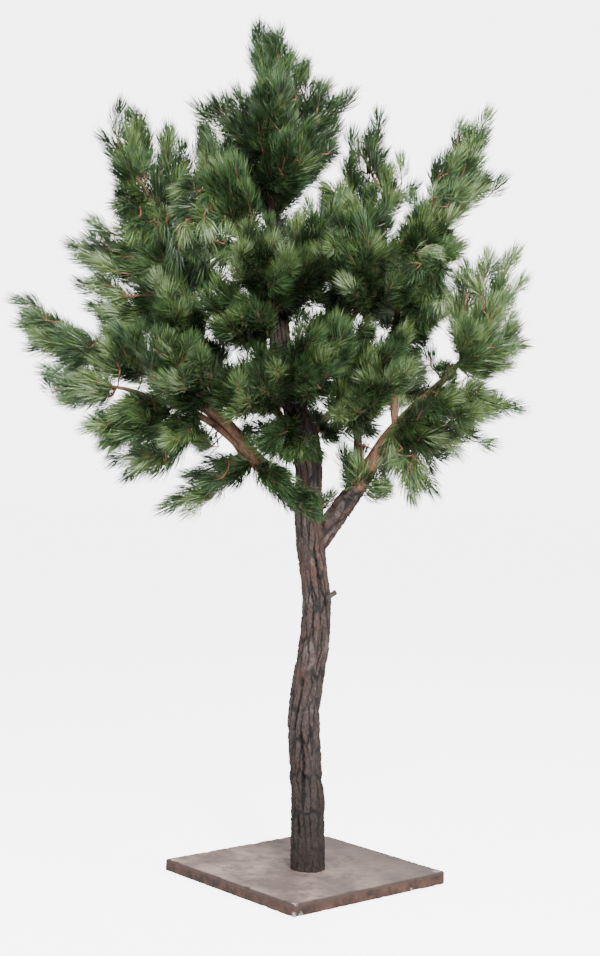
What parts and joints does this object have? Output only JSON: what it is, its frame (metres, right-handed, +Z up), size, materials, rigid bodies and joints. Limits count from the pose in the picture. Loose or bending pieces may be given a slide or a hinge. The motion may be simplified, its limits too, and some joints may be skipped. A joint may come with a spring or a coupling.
{
  "type": "artificial pine tree on a slab foot",
  "caption": "Artificial pine tree with a forked natural trunk, long-needled sprays on rising boughs and a square slab foot.",
  "frame": {"origin": "centre of the slab's underside", "axes": "+Z up along the trunk, X and Y along the slab's sides"},
  "size_m": [1.5234, 1.4191, 2.9893],
  "materials": {
    "slab": "matt, brown-stained cast slab",
    "trunk_bark": "deeply furrowed grey-brown bark",
    "bough_bark": "smoother red-brown bark",
    "needles": "satin green needles"
  },
  "bodies": {
    "root": {"bough_back_left": "bough_bark", "bough_back_right": "bough_bark", "bough_front": "bough_bark", "bough_left": "bough_bark", "bough_left_low": "bough_bark", "bough_left_up": "bough_bark", "bough_mid_left": "bough_bark", "bough_mid_right": "bough_bark", "bough_right": "bough_bark", "bough_right_tall": "bough_bark", "bough_right_up": "bough_bark", "foliage_centre_back_high": "needles", "foliage_centre_back_low": "needles", "foliage_centre_droop": "needles", "foliage_centre_front_high": "needles", "foliage_centre_front_low": "needles", "foliage_centre_front_mid": "needles", "foliage_centre_right_high": "needles", "foliage_centre_right_low": "needles", "foliage_centre_under": "needles", "foliage_far_left_tip": "needles", "foliage_fork_sprays": "needles", "foliage_left_back": "needles", "foliage_left_back_low": "needles", "foliage_left_droop": "needles", "foliage_left_hang": "needles", "foliage_left_inner": "needles", "foliage_left_low_shelf": "needles", "foliage_left_low_tip": "needles", "foliage_left_mid_high": "needles", "foliage_left_mid_low": "needles", "foliage_left_shelf_front": "needles", "foliage_left_shelf_high": "needles", "foliage_left_tall_inner": "needles", "foliage_left_tall_out": "needles", "foliage_left_tall_right": "needles", "foliage_left_tall_top": "needles", "foliage_right_front": "needles", "foliage_right_high_back": "needles", "foliage_right_inner": "needles", "foliage_right_low_back": "needles", "foliage_right_low_droop": "needles", "foliage_right_low_inner": "needles", "foliage_right_mid": "needles", "foliage_right_out_high": "needles", "foliage_right_out_low": "needles", "foliage_right_out_mid": "needles", "foliage_right_tall_side": "needles", "foliage_right_tall_top": "needles", "foliage_right_up": "needles", "foliage_top_back": "needles", "foliage_top_front": "needles", "foliage_top_leader": "needles", "foliage_upper_back": "needles", "foliage_upper_front": "needles", "foliage_upper_left": "needles", "foliage_upper_left_low": "needles", "foliage_upper_right": "needles", "slab": "slab", "trunk": "trunk_bark"}
  },
  "joints": []
}
